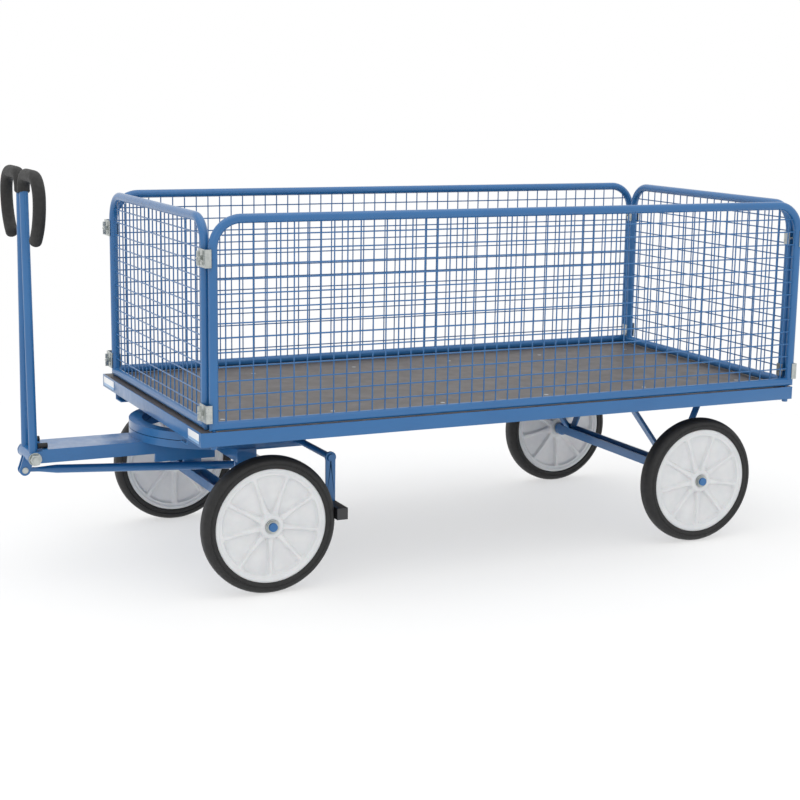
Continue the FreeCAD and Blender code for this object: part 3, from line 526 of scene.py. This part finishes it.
def wire_panel_tree():
    """Upright and level wires that end at the frame, shorter where its top corners are round."""
    tree = bpy.data.node_groups.new("welded_wires", "GeometryNodeTree")
    for name, kind in (("Length", "Float"), ("Height", "Float"), ("Pitch", "Float"), ("Corner", "Float"),
                       ("Wire radius", "Float"), ("Uprights", "Int"), ("Levels", "Int"),
                       ("Material", "Material")):
        tree.interface.new_socket(name, in_out="INPUT", socket_type=f"NodeSocket{kind}")
    tree.interface.new_socket("Wires", in_out="OUTPUT", socket_type="NodeSocketGeometry")
    start, end = add(tree, "NodeGroupInput").outputs, add(tree, "NodeGroupOutput")

    def math_node(operation, *values):
        return add(tree, "ShaderNodeMath", dict(enumerate(values)), operation=operation).outputs[0]

    def vector(x, y, z):
        return add(tree, "ShaderNodeCombineXYZ", {"X": x, "Y": y, "Z": z}).outputs[0]

    def shortened(from_edge):
        """How far the round corner cuts into a wire that lies from_edge inside the panel."""
        inside = math_node("MAXIMUM", math_node("SUBTRACT", start["Corner"], from_edge), 0.0)
        squares = math_node("SUBTRACT", math_node("MULTIPLY", start["Corner"], start["Corner"]),
                            math_node("MULTIPLY", inside, inside))
        return math_node("SUBTRACT", start["Corner"], math_node("SQRT", squares))

    def first_place(extent, count):
        used = math_node("MULTIPLY", start["Pitch"], math_node("SUBTRACT", count, 1.0))
        return math_node("MULTIPLY", math_node("SUBTRACT", extent, used), 0.5)

    place = add(tree, "GeometryNodeInputPosition").outputs[0]
    apart = add(tree, "ShaderNodeSeparateXYZ", {"Vector": place}).outputs
    sets = []
    for upright in (True, False):
        extent, count = (start["Length"], start["Uprights"]) if upright else (start["Height"], start["Levels"])
        begin = first_place(extent, count)
        aside = math_node("MULTIPLY", start["Wire radius"], -0.95 if upright else 0.95)
        origin = vector(begin, aside, 0.0) if upright else vector(0.0, aside, begin)
        step = vector(start["Pitch"], 0.0, 0.0) if upright else vector(0.0, 0.0, start["Pitch"])
        line = add(tree, "GeometryNodeMeshLine", {"Count": count, "Start Location": origin,
                                                  "Offset": step}, mode="OFFSET")
        if upright:
            nearest = math_node("MINIMUM", apart["X"], math_node("SUBTRACT", start["Length"], apart["X"]))
            drop = shortened(nearest)
            long = vector(1.0, 1.0, math_node("SUBTRACT", start["Height"], drop))
            shift = vector(0.0, 0.0, 0.0)
            unit = add(tree, "GeometryNodeCurvePrimitiveLine", {"End": (0.0, 0.0, 1.0)})
        else:
            drop = shortened(math_node("SUBTRACT", start["Height"], apart["Z"]))
            long = vector(math_node("SUBTRACT", start["Length"], math_node("MULTIPLY", drop, 2.0)), 1.0, 1.0)
            shift = vector(drop, 0.0, 0.0)
            unit = add(tree, "GeometryNodeCurvePrimitiveLine", {"End": (1.0, 0.0, 0.0)})
        # the scale is kept before the points move
        kept = add(tree, "GeometryNodeStoreNamedAttribute", {"Geometry": line.outputs["Mesh"], "Name": "long",
                                                             "Value": long}, data_type="FLOAT_VECTOR")
        placed = add(tree, "GeometryNodeSetPosition", {"Geometry": kept.outputs["Geometry"], "Offset": shift})
        stored = add(tree, "GeometryNodeInputNamedAttribute", {"Name": "long"}, data_type="FLOAT_VECTOR")
        copies = add(tree, "GeometryNodeInstanceOnPoints", {"Points": placed.outputs["Geometry"],
                                                            "Instance": unit.outputs["Curve"],
                                                            "Scale": stored.outputs["Attribute"]})
        sets.append(copies.outputs["Instances"])
    joined = add(tree, "GeometryNodeJoinGeometry")
    for made in sets:
        tree.links.new(made, joined.inputs["Geometry"])
    real = add(tree, "GeometryNodeRealizeInstances", {"Geometry": joined.outputs["Geometry"]})
    circle = add(tree, "GeometryNodeCurvePrimitiveCircle", {"Resolution": 10, "Radius": start["Wire radius"]})
    solid = add(tree, "GeometryNodeCurveToMesh", {"Curve": real.outputs["Geometry"],
                                                  "Profile Curve": circle.outputs["Curve"], "Fill Caps": True})
    whole = add(tree, "GeometryNodeRealizeInstances", {"Geometry": solid.outputs["Mesh"]})
    finished = add(tree, "GeometryNodeSetMaterial", {"Geometry": whole.outputs["Geometry"],
                                                     "Material": start["Material"]})
    tree.links.new(finished.outputs["Geometry"], end.inputs["Wires"])
    return tree


wire_panel = wire_panel_tree()


def evaluated(name, tree, values):
    """The plain mesh that a node tree makes with its named inputs."""
    holder = bpy.data.objects.new(name, bpy.data.meshes.new(name))
    bpy.context.scene.collection.objects.link(holder)
    modifier = holder.modifiers.new("made", "NODES")
    modifier.node_group = tree
    identifiers = {item.name: item.identifier for item in tree.interface.items_tree if item.in_out == "INPUT"}
    for socket, value in values.items():
        modifier[identifiers[socket]] = value
    bpy.context.view_layer.update()
    graph = bpy.context.evaluated_depsgraph_get()
    mesh = bpy.data.meshes.new_from_object(holder.evaluated_get(graph))
    bpy.data.objects.remove(holder)
    return mesh


for side in ("left", "right", "front", "rear"):
    low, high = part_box(f"{side}_wall_mesh")
    lengthways = side in ("left", "right")
    length = high.x - low.x if lengthways else high.y - low.y
    height = high.z - low.z
    mesh = evaluated(f"{side}_wires", wire_panel, {
        "Length": length, "Height": height, "Pitch": MESH_PITCH, "Corner": CORNER_RADIUS,
        "Wire radius": WIRE_RADIUS, "Uprights": int(length / MESH_PITCH + 1e-4),
        "Levels": int(height / MESH_PITCH + 1e-4), "Material": blue_coat})
    middle = (low + high) / 2
    starts = {"left": (low.x, middle.y, 0.0), "right": (high.x, middle.y, math.pi),
              "front": (middle.x, high.y, -math.pi / 2), "rear": (middle.x, low.y, math.pi / 2)}
    start_x, start_y, turn = starts[side]
    placed = Matrix.Translation((start_x, start_y, low.z)) @ Matrix.Rotation(turn, 4, "Z")
    mesh.transform(placed)
    finish_mesh(f"wire_mesh_{side}", mesh, blue_coat, f"wall_{side}", [f"{side}_wall_mesh"], 50)

# ------------------------------------------------------------------ corner clips
# Zinc-plated steel plates, bent so that they hook round the side walls' end posts. Each is drawn up by a bolt
# with a wing nut.
for end in ("front", "rear"):
    dress([f"{end}_clip_plates", f"{end}_wing_bolts"], zinc, 1.0)

# ------------------------------------------------------------------ floor, light and camera
# A white studio sweep lit by large soft boxes, as for a catalogue picture. The sweep is partly clear, which
# keeps the shadows on it faint, and it fades out away from the truck.
SWEEP_CLEARNESS = 0.55
floor_mesh = bpy.data.meshes.new("studio_floor")
floor_mesh.from_pydata([(-40, -40, 0), (40, -40, 0), (40, 40, 0), (-40, 40, 0)], [], [(0, 1, 2, 3)])
floor = bpy.data.objects.new("studio_floor", floor_mesh)
bpy.context.scene.collection.objects.link(floor)
floor_paint = bpy.data.materials.new("white_sweep")
floor_paint.use_nodes = True
floor_shader = floor_paint.node_tree.nodes["Principled BSDF"]
floor_shader.inputs["Base Color"].default_value = linear("#ffffff")
floor_shader.inputs["Roughness"].default_value = 0.9
sweep = floor_paint.node_tree
from_middle = add(sweep, "ShaderNodeVectorMath", {0: add(sweep, "ShaderNodeTexCoord").outputs["Object"]},
                  operation="LENGTH").outputs["Value"]
fade = add(sweep, "ShaderNodeMapRange", {"Value": from_middle, "From Min": 1.9, "From Max": 3.6,
                                         "To Min": SWEEP_CLEARNESS},
           interpolation_type="SMOOTHSTEP").outputs["Result"]
open_air = add(sweep, "ShaderNodeBsdfTransparent").outputs["BSDF"]
faded = add(sweep, "ShaderNodeMixShader", {0: fade, 1: floor_shader.outputs["BSDF"], 2: open_air})
sweep.links.new(faded.outputs["Shader"], sweep.nodes["Material Output"].inputs["Surface"])
floor_mesh.materials.append(floor_paint)

world = bpy.data.worlds.new("studio")
world.use_nodes = True
world.node_tree.nodes["Background"].inputs["Color"].default_value = (1, 1, 1, 1)
world.node_tree.nodes["Background"].inputs["Strength"].default_value = 1.0
bpy.context.scene.world = world
bpy.context.scene.view_settings.view_transform = "Standard"


def soft_box(name, place, aim, size, power):
    lamp = bpy.data.lights.new(name, "AREA")
    lamp.shape = "RECTANGLE"
    lamp.size, lamp.size_y = size
    lamp.energy = power
    holder = bpy.data.objects.new(name, lamp)
    holder.location = place
    holder.rotation_euler = (Vector(aim) - Vector(place)).to_track_quat("-Z", "Y").to_euler()
    bpy.context.scene.collection.objects.link(holder)


soft_box("top_light", (0.5, 0.5, 4.5), (0, 0, 0.3), (5, 4), 40)
soft_box("key_light", (3.5, 4.5, 3.2), (0, 0, 0.5), (3, 2.5), 12)

# a long lens at chest height, turned a little about its own axis
CAMERA_PLACE = (2.2226, 4.7342, 1.4486)
LENS_MM = 74.83
YAW, PITCH, ROLL = -2.0129, 0.1910, 0.0148
ahead = Vector((math.cos(PITCH) * math.cos(YAW), math.cos(PITCH) * math.sin(YAW), -math.sin(PITCH)))
level = ahead.cross(Vector((0, 0, 1))).normalized()
above = level.cross(ahead)
right = level * math.cos(ROLL) + above * math.sin(ROLL)
top = above * math.cos(ROLL) - level * math.sin(ROLL)
camera_data = bpy.data.cameras.new("camera")
camera_data.sensor_width = 36
camera_data.lens = LENS_MM
camera = bpy.data.objects.new("camera", camera_data)
turned = Matrix((right, top, -ahead)).transposed().to_4x4()
camera.matrix_world = Matrix.Translation(CAMERA_PLACE) @ turned
bpy.context.scene.collection.objects.link(camera)
bpy.context.scene.camera = camera
